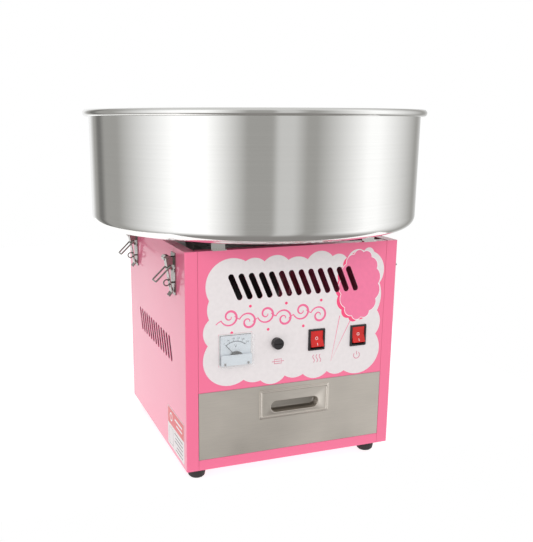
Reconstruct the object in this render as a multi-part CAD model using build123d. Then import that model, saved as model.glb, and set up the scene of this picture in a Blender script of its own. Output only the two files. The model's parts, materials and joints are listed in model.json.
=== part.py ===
from build123d import *
import math
import os

# Cotton candy machine, in millimetres.
# Origin: on the floor below the axis of the bowl. +Z up, the front faces -Y,
# +X is on the right for somebody standing in front of the machine.

# ---------------------------------------------------------------- driving sizes
HALF_W = 163.0            # cabinet half width, along X
HALF_D = 168.0            # cabinet half depth, along Y
FOOT_H = 20.0             # rubber foot height, so also the cabinet's underside
CAB_TOP = 338.0
SHEET = 1.2               # cabinet and drawer sheet thickness
FOLD_R = 1.6              # outer radius of a folded edge
SEAM_X = 145.0            # the side panels wrap round the front and back to here
SEAM_GAP = 0.4            # gap between two panels
TOP_FLANGE = 15.0         # inward fold round the open top
RAIL_TOP = 35.5           # top of the rail below the drawer
DRAWER_TOP = 136.6        # seam between the drawer face and the front panel
SHELF_Z = 141.0           # partition between the drawer and the electrics
DECK_Z = 322.8            # underside of the recessed deck

VENT_COUNT = 13           # slots in one group
VENT_PITCH = 15.05
VENT_W = 8.6              # slot width
VENT_RISE = 36.8          # slot height, measured upright, from end to end
VENT_LEAN = 16.0          # sideways lean from top to bottom, end to end
FRONT_VENT_X = -0.6       # centre of the front group
FRONT_VENT_Z = 285.5
SIDE_VENT_Y = 1.2         # centre of a side group
SIDE_VENT_Z = 182.5

METER_X, METER_Z = -90.8, 196.6
METER_W, METER_H = 50.0, 47.0
METER_PROUD = 13.0
METER_HOLE_R = 20.5
METER_PIVOT_Z = METER_Z - 8.8
NEEDLE_SWING = 42.0       # degrees each side of upright
FUSE_X, FUSE_Z = -28.2, 200.2
SWITCH_XS = {"heat": 35.2, "power": 103.3}
SWITCH_Z = 198.7
SWITCH_W, SWITCH_H = 26.4, 32.0
SWITCH_TILT = 12.0        # rocker tilt each side of level

LATCH_YS = (-115.0, 115.0)
LATCH_PIVOT = (8.7, 321.0)       # lever pivot: distance out from the side, height
BAIL_PIVOT = (7.0, 312.0)        # bail pivot on the lever
BAIL_LENGTH = 30.0
BAIL_DROP = 44.0                 # degrees below level, hanging beside the lever
BAIL_WIRE_R = 1.25
LATCH_PIN_R = 1.4
LEVER_HALF_W = 6.8

RIM_R = 260.0             # outer radius of the bowl's rolled rim
BEAD_R = 5.0              # radius of the rolled bead
BEAD_Z = 518.5
WALL_R = 251.0            # bowl wall, outside
BOWL_FLOOR_Z = 353.0      # underside of the bowl's floor
BOWL_SHEET = 1.2
BOWL_CORNER_R = 17.0
BOWL_HOLE_R = 89.0
KEEPER_X = 115.0          # keepers sit this far from the bowl's axis, sideways

NECK_R = 78.0             # collar that the bowl drops over
COLLAR_R = 98.0           # outer wall of the collar, under the bowl
SPINDLE_R = 6.0
MOTOR_R = 45.0
MOTOR_Z0, MOTOR_Z1 = 215.0, 300.0
HEAD_Z = 362.0            # underside of the spinning head
HEAD_R = 71.0

DRAWER_BACK = 110.0       # rear end of the drawer tray
TRAY_HALF_W = 128.0
TRAY_FLOOR_Z = 38.5
TRAY_TOP = 108.4
PULL_X, PULL_Z = 2.7, 107.8
PULL_W, PULL_H = 111.0, 44.5
GRIP_Z = 103.0            # centre of the finger recess
GRIP_W, GRIP_H = 76.0, 17.0
GRIP_DEPTH = 15.0

INLET_X, INLET_Z = -95.0, 190.0
FOOT_X, FOOT_Y = 140.4, 141.0

FRONT = -HALF_D           # plane of the front
CLEAR = 0.3               # gap kept between pieces that move past each other


# ---------------------------------------------------------------- small helpers
def block(x0, x1, y0, y1, z0, z1):
    """Box between two corners."""
    centre = ((x0 + x1) / 2, (y0 + y1) / 2, (z0 + z1) / 2)
    return Pos(*centre) * Box(abs(x1 - x0), abs(y1 - y0), abs(z1 - z0))


def rod(axis, start, end, across, radius):
    """Cylinder along X, Y or Z. across gives the other two coordinates, in order."""
    middle, length = (start + end) / 2, abs(end - start)
    if axis == "x":
        return Pos(middle, *across) * Rot(Y=90) * Cylinder(radius, length)
    if axis == "y":
        return Pos(across[0], middle, across[1]) * Rot(X=90) * Cylinder(radius, length)
    return Pos(*across, middle) * Cylinder(radius, length)


def slab(axis, start, end, face):
    """Extrude a face drawn on the XZ plane along Y, from start to end."""
    return extrude(Pos(0, start, 0) * face, amount=end - start, dir=(0, 1, 0))


def turned(points):
    """Solid of revolution about Z from a closed outline of (radius, height)."""
    outline = Polyline(*[(r, 0, z) for r, z in points], close=True)
    return revolve(make_face(outline), Axis.Z)


def front_slot(x, z, width, height):
    """Upright face of an obround, lying flat, on the XZ plane."""
    return Plane(origin=(x, 0, z), x_dir=(1, 0, 0), z_dir=(0, -1, 0)) * SlotOverall(width, height)


def fuse_all(shapes):
    """Union of a list of shapes."""
    return shapes[0] + shapes[1:]


def mirrored(shape):
    """Copy on the other side of the YZ plane."""
    return mirror(shape, Plane.YZ)


# ---------------------------------------------------------------- vents
def vent_cutters(origin, across, normal, depth=6.0):
    """Row of leaning slots. across runs along the row, the tops lean back against it."""
    lean = VENT_LEAN
    along = Vector(*across) * lean + Vector(0, 0, -VENT_RISE)
    length = math.hypot(lean, VENT_RISE)
    cutters = []
    for index in range(VENT_COUNT):
        offset = (index - (VENT_COUNT - 1) / 2) * VENT_PITCH
        centre = Vector(*origin) + Vector(*across) * offset
        plane = Plane(origin=centre, x_dir=along, z_dir=normal)
        cutters.append(extrude(plane * SlotOverall(length, VENT_W), amount=depth, both=True))
    return cutters


def front_vents():
    return vent_cutters((FRONT_VENT_X, FRONT, FRONT_VENT_Z), (1, 0, 0), (0, -1, 0))


def side_vents():
    return vent_cutters((-HALF_W, SIDE_VENT_Y, SIDE_VENT_Z), (0, -1, 0), (-1, 0, 0))


def rear_vents():
    return vent_cutters((0, HALF_D, FRONT_VENT_Z), (-1, 0, 0), (0, 1, 0))


# ---------------------------------------------------------------- cabinet
def side_panel():
    """Left panel: one folded sheet with front, rear, top and bottom flanges."""
    outer, inner = -HALF_W, -HALF_W + SHEET
    seam = -SEAM_X - SEAM_GAP / 2
    side = block(outer, inner, -HALF_D, HALF_D, FOOT_H, CAB_TOP)
    front = block(outer, seam, -HALF_D, -HALF_D + SHEET, FOOT_H, CAB_TOP)
    rear = block(outer, seam, HALF_D - SHEET, HALF_D, FOOT_H, CAB_TOP)
    top = block(outer, outer + TOP_FLANGE, -HALF_D, HALF_D, CAB_TOP - SHEET, CAB_TOP)
    bottom = block(outer, outer + TOP_FLANGE, -HALF_D, HALF_D, FOOT_H, FOOT_H + SHEET)
    panel = side + front + rear + top + bottom
    folds = [e for e in panel.edges().filter_by(Axis.Z)
             if abs(e.center().X - outer) < 0.01 and abs(abs(e.center().Y) - HALF_D) < 0.01]
    panel = fillet(folds, FOLD_R)
    return panel - side_vents()


def front_openings(depth=6.0):
    """Cutters for the meter, the fuse holder and the two switches."""
    cuts = [rod("y", FRONT - depth, FRONT + depth, (METER_X, METER_Z), METER_HOLE_R)]
    cuts.append(rod("y", FRONT - depth, FRONT + depth, (FUSE_X, FUSE_Z), 6.6))
    for x in SWITCH_XS.values():
        cuts.append(block(x - 12.3, x + 12.3, FRONT - depth, FRONT + depth,
                          SWITCH_Z - 15.0, SWITCH_Z + 15.0))
    return cuts


def front_panel():
    """Upper front panel with its vents, folded top and bottom edges and openings."""
    half = SEAM_X - SEAM_GAP / 2
    low = DRAWER_TOP + 0.4
    face = block(-half, half, FRONT, FRONT + SHEET, low, CAB_TOP)
    top = block(-half, half, FRONT + SHEET, FRONT + TOP_FLANGE, CAB_TOP - SHEET, CAB_TOP)
    bottom = block(-half, half, FRONT + SHEET, FRONT + 9.0, low, low + SHEET)
    return [face - (front_vents() + front_openings()), top, bottom]


def rear_panel():
    """Rear panel with vents, the mains inlet opening and a folded top edge."""
    half = SEAM_X - SEAM_GAP / 2
    face = block(-half, half, HALF_D - SHEET, HALF_D, FOOT_H, CAB_TOP)
    top = block(-half, half, HALF_D - TOP_FLANGE, HALF_D - SHEET, CAB_TOP - SHEET, CAB_TOP)
    inlet = block(INLET_X - 13.7, INLET_X + 13.7, HALF_D - 6, HALF_D + 6,
                  INLET_Z - 9.9, INLET_Z + 9.9)
    return [face - (rear_vents() + [inlet]), top]


def base_pan():
    """Floor pan: its front edge folds up as the rail below the drawer."""
    half = SEAM_X - SEAM_GAP / 2
    inside = HALF_W - SHEET - 0.1
    floor_z = FOOT_H + SHEET
    floor = block(-inside, inside, FRONT + SHEET, HALF_D - SHEET, floor_z, floor_z + SHEET)
    lip = block(-half, half, FRONT, FRONT + 2 * SHEET, floor_z, floor_z + SHEET)
    rail = block(-half, half, FRONT, FRONT + SHEET, FOOT_H, RAIL_TOP)
    fold = block(-half, half, FRONT, FRONT + 12.0, RAIL_TOP - SHEET, RAIL_TOP)
    pan = floor + lip + rail + fold
    for x in (-FOOT_X, FOOT_X):
        for y in (-FOOT_Y, FOOT_Y):
            pan = pan - rod("z", floor_z - 1, floor_z + 3, (x, y), 2.6)
    return pan


def deck_plate():
    """Recessed top deck: plate with a central hole, four edge strips, two angle brackets."""
    half_x, half_y = HALF_W - SHEET - 0.1, HALF_D - SHEET - 0.1
    low, top = DECK_Z - 12.0, DECK_Z + SHEET
    plate = block(-half_x, half_x, -half_y, half_y, DECK_Z, top)
    pieces = [plate - rod("z", DECK_Z - 1, top + 1, (0, 0), 62.0)]
    for side in (-1, 1):
        pieces.append(block(side * half_x, side * (half_x - SHEET), -half_y, half_y, low, DECK_Z))
        pieces.append(block(-half_x + SHEET, half_x - SHEET, side * half_y, side * (half_y - SHEET),
                            low, DECK_Z))
    flat = block(-124, -96, -80, -42, top, top + 1.5)
    wall = block(-124, -122.5, -80, -42, top, top + 10)
    bracket = flat + wall - [rod("z", top - 1, top + 3, (-110, y), 3.2) for y in (-70, -52)]
    return pieces + [bracket, Rot(Z=180) * bracket]


def partition_shelf():
    """Shelf between the drawer space and the electrical space."""
    half_x = HALF_W - SHEET - 0.1
    back = HALF_D - SHEET - 0.1
    front = FRONT + 10.0
    plate = block(-half_x, half_x, front, back, SHELF_Z, SHELF_Z + SHEET)
    left = block(-half_x, -half_x + SHEET, front, back, SHELF_Z, SHELF_Z + 10)
    right = block(half_x - SHEET, half_x, front, back, SHELF_Z, SHELF_Z + 10)
    return plate + left + right


def drawer_runners():
    """Two angle runners that the drawer's lips slide on."""
    wall = HALF_W - SHEET
    shelf_z = TRAY_TOP - SHEET - CLEAR
    runners = []
    for side in (-1, 1):
        web = block(side * wall, side * (wall - SHEET), FRONT + 9, DRAWER_BACK + 8, 84, shelf_z)
        shelf = block(side * wall, side * (TRAY_HALF_W + 3.0), FRONT + 9, DRAWER_BACK + 8,
                      shelf_z - SHEET, shelf_z)
        runners.append(web + shelf)
    return runners


def foot(x, y):
    """Moulded rubber foot with a screw pocket from below."""
    top_r, low_r, edge = 14.8, 12.2, 2.5
    outline = Polyline((0, 0, 0), (low_r - edge, 0, 0), (low_r, 0, edge), (top_r, 0, FOOT_H - 3.5),
                       (top_r, 0, FOOT_H), (0, 0, FOOT_H), close=True)
    body = revolve(make_face(outline), Axis.Z)
    bottom = [e for e in body.edges() if e.center().Z < edge + 0.01 and e.length > 40]
    body = fillet(bottom, 1.0)
    pocket = Pos(0, 0, 4.5) * Cylinder(4.6, 9.0) + Pos(0, 0, 12) * Cylinder(2.2, 24)
    return Pos(x, y, 0) * (body - pocket)


def pan_screw(x, y, z, axis, head_r=3.2, shank_r=1.6, shank=5.0):
    """Cross-head screw. Its head stands proud along axis from the point given."""
    head = Pos(0, 0, 0.9) * Cylinder(head_r, 1.8)
    head = fillet(head.edges().sort_by(Axis.Z)[-1], 0.9)
    stem = Pos(0, 0, -shank / 2) * Cylinder(shank_r, shank)
    cross = Box(head_r * 1.1, 0.6, 1.2) + Box(0.6, head_r * 1.1, 1.2)
    screw = head + stem - Pos(0, 0, 1.7) * cross
    return Plane(origin=(x, y, z), z_dir=axis) * screw


def machine_screws():
    """Every fixing screw on the cabinet, the foot screws and the meter screws."""
    screws = []
    for z in (48.0, 150.0, 316.0):
        for x in (-154.0, 154.0):
            screws.append(pan_screw(x, HALF_D, z, (0, 1, 0)))
    for x in (-60.0, 60.0):
        screws.append(pan_screw(x, HALF_D, 150.0, (0, 1, 0)))
    for x in (-FOOT_X, FOOT_X):
        for y in (-FOOT_Y, FOOT_Y):
            stem = rod("z", 9.0, FOOT_H + 2 * SHEET + 3, (x, y), 2.1)
            screws.append(rod("z", 6.4, 9.0, (x, y), 4.2) + stem)
    for side in (-1, 1):
        spot = (METER_X + side * 17.3, FRONT - 7.0, METER_Z - 18.7)
        screws.append(pan_screw(*spot, (0, -1, 0), head_r=1.9, shank_r=0.9, shank=7.0))
    for side in (-1, 1):
        screws.append(pan_screw(INLET_X + side * 20.0, HALF_D + 2.6, INLET_Z, (0, 1, 0)))
    return screws


# ---------------------------------------------------------------- printed film
# The cloud's outline, clockwise from the left: each puff is an arc from one valley to
# the next, through its crest. Every entry is (valley x, valley z, crest x, crest z).
CLOUD_PUFFS = (
    (-129, 269, -122, 316), (-76, 321, -62, 325), (-48, 319, -30, 327),
    (-12, 319, 3, 323), (18, 318, 37, 329), (57, 320, 69, 323),
    (81, 314, 96, 328), (108, 325, 117, 329.5), (124, 323, 141, 304),
    (136, 276, 139, 250), (134, 234, 140, 216), (133, 198, 128, 148),
    (82, 146, 68, 142), (54, 148, 34, 139.5), (15, 148, 1, 144),
    (-14, 149, -34, 138.5), (-52, 146, -64, 144.5), (-78, 150, -127, 155),
    (-131, 205, -138, 224), (-129, 242, -132, 256),
)
FILM = 0.2                # thickness of the film


def cloud_face():
    """Scalloped cloud on the XZ plane."""
    arcs = []
    for index, (x, z, crest_x, crest_z) in enumerate(CLOUD_PUFFS):
        next_x, next_z = CLOUD_PUFFS[(index + 1) % len(CLOUD_PUFFS)][:2]
        arcs.append(ThreePointArc((x, 0, z), (crest_x, 0, crest_z), (next_x, 0, next_z)))
    return make_face(arcs)


def front_decal():
    """Cloud-shaped film on the front panel, cut round the vents and the controls."""
    film = slab("y", FRONT - FILM, FRONT, cloud_face())
    cuts = front_vents()
    cuts.append(block(METER_X - METER_W / 2, METER_X + METER_W / 2, FRONT - 2, FRONT + 2,
                      METER_Z - METER_H / 2, METER_Z + METER_H / 2))
    cuts.append(rod("y", FRONT - 2, FRONT + 2, (FUSE_X, FUSE_Z), 7.7))
    for x in SWITCH_XS.values():
        cuts.append(block(x - SWITCH_W / 2, x + SWITCH_W / 2, FRONT - 2, FRONT + 2,
                          SWITCH_Z - SWITCH_H / 2, SWITCH_Z + SWITCH_H / 2))
    return film - cuts


def data_label():
    """Film label low down at the front end of the left side."""
    label = block(-HALF_W - FILM, -HALF_W, -156.3, -69.3, 26.0, 87.6)
    return fillet(label.edges().filter_by(Axis.X), 2.0)


# ---------------------------------------------------------------- controls
def voltmeter_window():
    """Clear moulded cover of the meter, open at the back."""
    half_w, half_h, wall = METER_W / 2, METER_H / 2, 1.8
    front = FRONT - METER_PROUD
    cover = block(METER_X - half_w, METER_X + half_w, front, FRONT, METER_Z - half_h, METER_Z + half_h)
    cover = fillet(cover.edges().filter_by(Axis.Y), 2.5)
    cover = fillet(cover.faces().sort_by(Axis.Y)[0].edges(), 0.8)
    space = block(METER_X - half_w + wall, METER_X + half_w - wall, front + 1.5, FRONT + 1,
                  METER_Z - half_h + wall, METER_Z + half_h - wall)
    return cover - space


def voltmeter_case():
    """Back plate, rear can and the arched shroud that hides the needle's pivot."""
    half_w, half_h = METER_W / 2 - 2.0, METER_H / 2 - 2.0
    back = block(METER_X - half_w, METER_X + half_w, FRONT - 1.5, FRONT, METER_Z - half_h, METER_Z + half_h)
    can = rod("y", FRONT - 1.0, FRONT + 26.0, (METER_X, METER_Z), METER_HOLE_R - 0.3)
    y0, y1 = FRONT - 5.6, FRONT - 4.9
    arch = rod("y", y0, y1, (METER_X, METER_Z - 13.0), 11.6)
    arch = arch & block(METER_X - 9.2, METER_X + 9.2, y0 - 1, y1 + 1, METER_Z - 19, METER_Z)
    stem = block(METER_X - 3, METER_X + 3, y0, FRONT - 1.0, METER_Z - 18.0, METER_Z - 13.5)
    return back + can + arch + stem


def voltmeter_dial():
    """Printed dial plate on the back plate, and the pale plate over the meter's movement."""
    half_w, half_h = METER_W / 2 - 2.3, METER_H / 2 - 2.3
    plate = block(METER_X - half_w, METER_X + half_w, FRONT - 2.1, FRONT - 1.5,
                  METER_Z - half_h, METER_Z + half_h)
    plate = plate - block(METER_X - 3.2, METER_X + 3.2, FRONT - 3, FRONT, METER_Z - 18.2, METER_Z - 13.3)
    apron = block(METER_X - half_w, METER_X + half_w, FRONT - 7.0, FRONT - 5.6,
                  METER_Z - half_h, METER_Z - 6.0)
    foot_strip = block(METER_X - half_w, METER_X + half_w, FRONT - 5.6, FRONT - 2.1,
                       METER_Z - half_h, METER_Z - half_h + 1.5)
    return plate + apron + foot_strip


def meter_needle():
    """Thin pointer with a hub, resting at the left end of the scale."""
    y0, y1 = FRONT - 4.3, FRONT - 3.7
    blade = block(-0.35, 0.35, y0, y1, -3.0, 22.0)
    hub = rod("y", y0 - 0.4, y1 + 0.4, (0, 0), 1.6)
    return Pos(METER_X, 0, METER_PIVOT_Z) * Rot(Y=-NEEDLE_SWING) * (blade + hub)


def fuse_holder():
    """Panel fuse holder: flange, threaded barrel with a bore, and a ring nut."""
    flange = rod("y", FRONT - 2.5, FRONT, (FUSE_X, FUSE_Z), 7.6)
    barrel = rod("y", FRONT, FRONT + 42.0, (FUSE_X, FUSE_Z), 6.4)
    nut = Pos(FUSE_X, FRONT + SHEET + 1.5, FUSE_Z) * Rot(X=90) * extrude(RegularPolygon(9.0, 6), 1.5, both=True)
    bore = rod("y", FRONT - 3.0, FRONT + 40.0, (FUSE_X, FUSE_Z), 5.4)
    return flange + barrel + nut - bore


def fuse_cap():
    """Screw cap with a knurled edge and a driver slot."""
    cap = rod("y", FRONT - 9.5, FRONT - 2.5 - CLEAR, (FUSE_X, FUSE_Z), 8.2)
    cap = fillet(cap.edges().sort_by(Axis.Y)[0], 0.8)
    grooves = []
    for step in range(24):
        angle = math.radians(step * 15)
        place = (FUSE_X + 8.4 * math.cos(angle), FUSE_Z + 8.4 * math.sin(angle))
        grooves.append(rod("y", FRONT - 10, FRONT - 2, place, 0.5))
    slot = block(FUSE_X - 6.0, FUSE_X + 6.0, FRONT - 9.6, FRONT - 8.0, FUSE_Z - 0.7, FUSE_Z + 0.7)
    return cap - grooves - slot


def glass_fuse():
    """Cartridge fuse, 10 by 38 mm, that comes out with the cap."""
    front = FRONT - 2.5 - CLEAR
    tube = rod("y", front + 10.0, front + 28.0, (FUSE_X, FUSE_Z), 4.8)
    for start in (front, front + 28.0):
        tube = tube + rod("y", start, start + 10.0, (FUSE_X, FUSE_Z), 5.15)
    return tube


SWITCH_PIVOT_Y = FRONT + 4.0


def switch_housing(x):
    """Rocker switch body with a raised bezel, a well for the rocker and three tags."""
    half_w, half_h = SWITCH_W / 2, SWITCH_H / 2
    bezel = block(x - half_w, x + half_w, FRONT - 2.5, FRONT, SWITCH_Z - half_h, SWITCH_Z + half_h)
    bezel = fillet(bezel.edges().filter_by(Axis.Y), 1.5)
    bezel = fillet(bezel.faces().sort_by(Axis.Y)[0].edges(), 0.8)
    body = block(x - 12.1, x + 12.1, FRONT, FRONT + 26.0, SWITCH_Z - 14.8, SWITCH_Z + 14.8)
    well = block(x - 10.2, x + 10.2, FRONT - 3, FRONT + 16.0, SWITCH_Z - 13.5, SWITCH_Z + 13.5)
    pins = rod("x", x - 11.5, x + 11.5, (SWITCH_PIVOT_Y, SWITCH_Z), 1.55)
    housing = bezel + body - well - pins
    for z in (-8.0, 0.0, 8.0):
        housing = housing + block(x - 3.2, x + 3.2, FRONT + 26, FRONT + 34,
                                  SWITCH_Z + z - 0.4, SWITCH_Z + z + 0.4)
    return housing


def switch_rocker(x):
    """Rocker with a shallow V face, stored with its upper half pressed in."""
    half_w, half_h = 9.8, 11.6
    profile = [(-1.5, -half_h), (-8.2, -half_h), (-5.2, 0), (-8.2, half_h), (-1.5, half_h)]
    outline = Polyline(*[(-half_w, y, z) for y, z in profile], close=True)
    cap = extrude(make_face(outline), amount=2 * half_w, dir=(1, 0, 0))
    cap = fillet(cap.faces().sort_by(Axis.X)[0].edges().sort_by(Axis.Y)[:2], 0.5)
    web = block(-4.0, 4.0, -2.0, 1.0, -1.2, 1.2)
    trunnion = rod("x", -11.3, 11.3, (0, 0), 1.5)
    return Pos(x, SWITCH_PIVOT_Y, SWITCH_Z) * Rot(X=-SWITCH_TILT) * (cap + web + trunnion)


def power_inlet():
    """Three-pin mains inlet in the rear panel, with its flange ears."""
    y = HALF_D
    flange = block(INLET_X - 25, INLET_X + 25, y, y + 2.6, INLET_Z - 11.5, INLET_Z + 11.5)
    flange = fillet(flange.edges().filter_by(Axis.Y), 4.0)
    body = block(INLET_X - 13.5, INLET_X + 13.5, y - 24, y, INLET_Z - 9.7, INLET_Z + 9.7)
    socket = block(INLET_X - 12.0, INLET_X + 12.0, y - 16, y + 3, INLET_Z - 8.2, INLET_Z + 8.2)
    socket = chamfer(socket.edges().filter_by(Axis.Y).sort_by(Axis.Z)[-2:], 4.0)
    island = block(INLET_X - 8.5, INLET_X + 8.5, y - 16, y - 2, INLET_Z - 4.6, INLET_Z + 3.4)
    inlet = flange + body - socket
    for side in (-1, 1):
        inlet = inlet - rod("y", y - 1, y + 4, (INLET_X + side * 20.0, INLET_Z), 1.65)
    return [inlet, island]


# ---------------------------------------------------------------- bowl latches
# A latch is drawn on the left side. "out" is the distance outward from the side sheet.
def latch_block(out0, out1, y0, y1, z0, z1):
    return block(-HALF_W - out1, -HALF_W - out0, y0, y1, z0, z1)


def latch_base():
    """Base plate with two pivot ears and the ring for a padlock, centred on Y = 0."""
    plate = latch_block(0, 1.5, -11, 11, 270, 330)
    plate = fillet(plate.edges().filter_by(Axis.X), 2.5)
    out, z = LATCH_PIVOT
    ears = latch_block(1.5, out, -5.3, 5.3, z - 2.8, z + 2.8)
    ears = ears + latch_block(1.5, 5.0, -5.3, 5.3, z - 8, z)
    ears = ears + rod("y", -5.3, 5.3, (-HALF_W - out, z), 2.8)
    ears = ears - latch_block(1.5, 13.0, -4.0, 4.0, z - 10, z + 8)
    eye = Pos(-HALF_W - 11.0, 0, 287.0) * Rot(X=90) * Torus(4.25, 1.0)
    stalk = rod("x", -HALF_W - 7.2, -HALF_W - 1.0, (0, 287.0), 1.4)
    return plate + ears + eye + stalk


def bent_strip(path, gauge, half_w):
    """Strip of sheet bent along a path of (out, height) points, centred on Y = 0."""
    points = [(-HALF_W - out, z) for out, z in path]
    pieces = [rod("y", -half_w, half_w, point, gauge / 2) for point in points]
    for (x0, z0), (x1, z1) in zip(points, points[1:]):
        tilt = math.degrees(math.atan2(z1 - z0, x1 - x0))
        bar = Rot(Y=-tilt) * Box(math.hypot(x1 - x0, z1 - z0), 2 * half_w, gauge)
        pieces.append(Pos((x0 + x1) / 2, 0, (z0 + z1) / 2) * bar)
    return fuse_all(pieces)


def latch_lever():
    """Lever pressed from strip: curled top lip, two cheeks, padlock slot, bent tab."""
    half_w, gauge = LEVER_HALF_W, 1.2
    path = [(15.2, 320.5), (15.8, 323.8), (13.4, 326.4), (5.0, 277.0), (4.6, 273.5), (8.4, 268.8)]
    lever = bent_strip(path, gauge, half_w)
    cheek_outline = [(13.3, 326.0), (10.1, 307.0), (5.4, 307.0), (5.0, 309.5), (5.6, 324.0), (8.5, 326.6)]
    cheek = make_face(Polyline(*[(-HALF_W - out, 0, z) for out, z in cheek_outline], close=True))
    for side in (-1, 1):
        inner = side * (half_w - gauge)
        lever = lever + extrude(Pos(0, inner, 0) * cheek, amount=gauge, dir=(0, side, 0))
    slot = latch_block(2.0, 14.0, -2.2, 2.2, 280.0, 294.5)
    pin = rod("y", -12, 12, (-HALF_W - LATCH_PIVOT[0], LATCH_PIVOT[1]), LATCH_PIN_R + 0.05)
    bail = rod("y", -12, 12, (-HALF_W - BAIL_PIVOT[0], BAIL_PIVOT[1]), BAIL_WIRE_R + 0.05)
    return lever - [slot, pin, bail]


def bail_solid():
    """Bail swept along its centre line, hanging at its rest angle."""
    leg_y, inner_end = 9.0, LEVER_HALF_W - 1.25
    path = FilletPolyline((0, inner_end, 0), (0, leg_y, 0), (BAIL_LENGTH, leg_y, 0),
                          (BAIL_LENGTH, -leg_y, 0), (0, -leg_y, 0), (0, -inner_end, 0), radius=1.5)
    section = Plane(origin=path @ 0, z_dir=path % 0) * Circle(BAIL_WIRE_R)
    wire = sweep(section, path=path)
    wire = Rot(Y=180 - BAIL_DROP) * wire
    return Pos(-HALF_W - BAIL_PIVOT[0], 0, BAIL_PIVOT[1]) * wire


def latch_rivets():
    """Lever pins and base rivets of all four latches."""
    out, z = LATCH_PIVOT
    rivets = []
    for y in LATCH_YS:
        reach = LEVER_HALF_W + 0.1
        pin = rod("y", y - reach, y + reach, (-HALF_W - out, z), LATCH_PIN_R)
        for side in (-1, 1):
            pin = pin + rod("y", y + side * reach, y + side * (reach + 0.5), (-HALF_W - out, z), 2.2)
        rivets.append(pin)
        for height, offset in ((276.0, 7.0), (276.0, -7.0), (305.0, 7.6), (305.0, -7.6)):
            rivet = rod("x", -HALF_W - 2.3, -HALF_W + 2.0, (y + offset, height), 1.5)
            head = rod("x", -HALF_W - 2.6, -HALF_W - 1.5, (y + offset, height), 2.4)
            rivets.append(rivet + head)
    return rivets + [mirrored(rivet) for rivet in rivets]


# ---------------------------------------------------------------- bowl
def bowl():
    """Spun bowl: round corner, wall and rolled rim. Its floor is a separate pressing."""
    t = BOWL_SHEET
    z = BOWL_FLOOR_Z
    inner_r, inner_corner = WALL_R - t, BOWL_CORNER_R - t
    floor_r = WALL_R - BOWL_CORNER_R
    bead_r_centre = RIM_R - BEAD_R
    quarter = math.sqrt(0.5)
    corner_out = ThreePointArc(
        (floor_r, 0, z),
        (WALL_R - BOWL_CORNER_R * (1 - quarter), 0, z + BOWL_CORNER_R * (1 - quarter)),
        (WALL_R, 0, z + BOWL_CORNER_R))
    corner_in = ThreePointArc(
        (inner_r, 0, z + BOWL_CORNER_R),
        (inner_r - inner_corner * (1 - quarter), 0, z + t + inner_corner * (1 - quarter)),
        (floor_r, 0, z + t))
    profile = [
        corner_out,
        Line((WALL_R, 0, z + BOWL_CORNER_R), (WALL_R, 0, BEAD_Z)),
        Line((WALL_R, 0, BEAD_Z), (inner_r, 0, BEAD_Z)),
        Line((inner_r, 0, BEAD_Z), (inner_r, 0, z + BOWL_CORNER_R)),
        corner_in,
        Line((floor_r, 0, z + t), (floor_r, 0, z)),
    ]
    shell = revolve(make_face(profile), Axis.Z)
    section = Plane.XZ * Pos(bead_r_centre, BEAD_Z)
    curl = section * Circle(BEAD_R) - section * Circle(BEAD_R - t)
    gap = Plane.XZ * Pos(WALL_R + 1.6, BEAD_Z - 3.0) * Rectangle(3.2, 3.4)
    return shell + revolve(curl - gap, Axis.Z)


def bowl_floor():
    """Flat floor of the bowl with a turned-up edge round the hole for the neck."""
    t, z, rim = BOWL_SHEET, BOWL_FLOOR_Z, WALL_R - BOWL_CORNER_R
    floor = turned([(BOWL_HOLE_R, z), (rim, z), (rim, z + t), (BOWL_HOLE_R, z + t)])
    edge_r = BOWL_HOLE_R + t
    edge = turned([(BOWL_HOLE_R, z + t), (edge_r, z + t), (edge_r, z + 6), (BOWL_HOLE_R, z + 6)])
    return [floor, edge]


def bowl_gasket():
    """Rubber seat ring between the collar's shoulder and the bowl."""
    outer = COLLAR_R + 2.5
    return turned([(NECK_R + CLEAR, 348.0), (outer, 348.0), (outer, 352.8), (NECK_R + CLEAR, 352.8)])


def bowl_keepers():
    """Four bent keepers riveted under the bowl for the latch bails to pull on."""
    top, low, lip = BOWL_FLOOR_Z, CAB_TOP + CLEAR, 172.0
    plate = block(-10, 10, -165.5, -164.0, low, top)
    flange = block(-10, 10, -165.5, -146.0, top - 1.5, top)
    hook = block(-10, 10, -lip, -164.0, low, low + 1.5)
    keeper = plate + flange + hook
    for x in (-5, 5):
        keeper = keeper + rod("z", top - 2.6, top, (x, -153.0), 2.2)
    keepers = []
    for x in (-KEEPER_X, KEEPER_X):
        for turn in (0, 180):
            keepers.append(Rot(Z=turn) * Pos(x, 0, 0) * keeper)
    return keepers


def bowl_collar():
    """Spun collar on the deck: foot flange, outer wall, shoulder and neck."""
    z = DECK_Z + SHEET
    t = 1.5
    wall, foot, neck = COLLAR_R, COLLAR_R + 4.5, NECK_R - t
    outer_wall = turned([
        (foot, z), (foot, z + t), (wall, z + t), (wall, 346), (wall - t, 346), (wall - t, z)])
    shoulder = turned([(neck, 346), (wall, 346), (wall, 347.5), (neck, 347.5)])
    upright = turned([(neck, 347.5), (NECK_R, 347.5), (NECK_R, 360), (neck, 360)])
    return [outer_wall, shoulder, upright]


# ---------------------------------------------------------------- drive
def motor_bracket():
    """Cross plate that carries the motor, with a hole for the slip rings."""
    plate = block(-60, 60, -60, 60, MOTOR_Z1, MOTOR_Z1 + 3)
    plate = fillet(plate.edges().filter_by(Axis.Z), 8.0)
    return plate - rod("z", MOTOR_Z1 - 1, MOTOR_Z1 + 4, (0, 0), 22.0)


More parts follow.
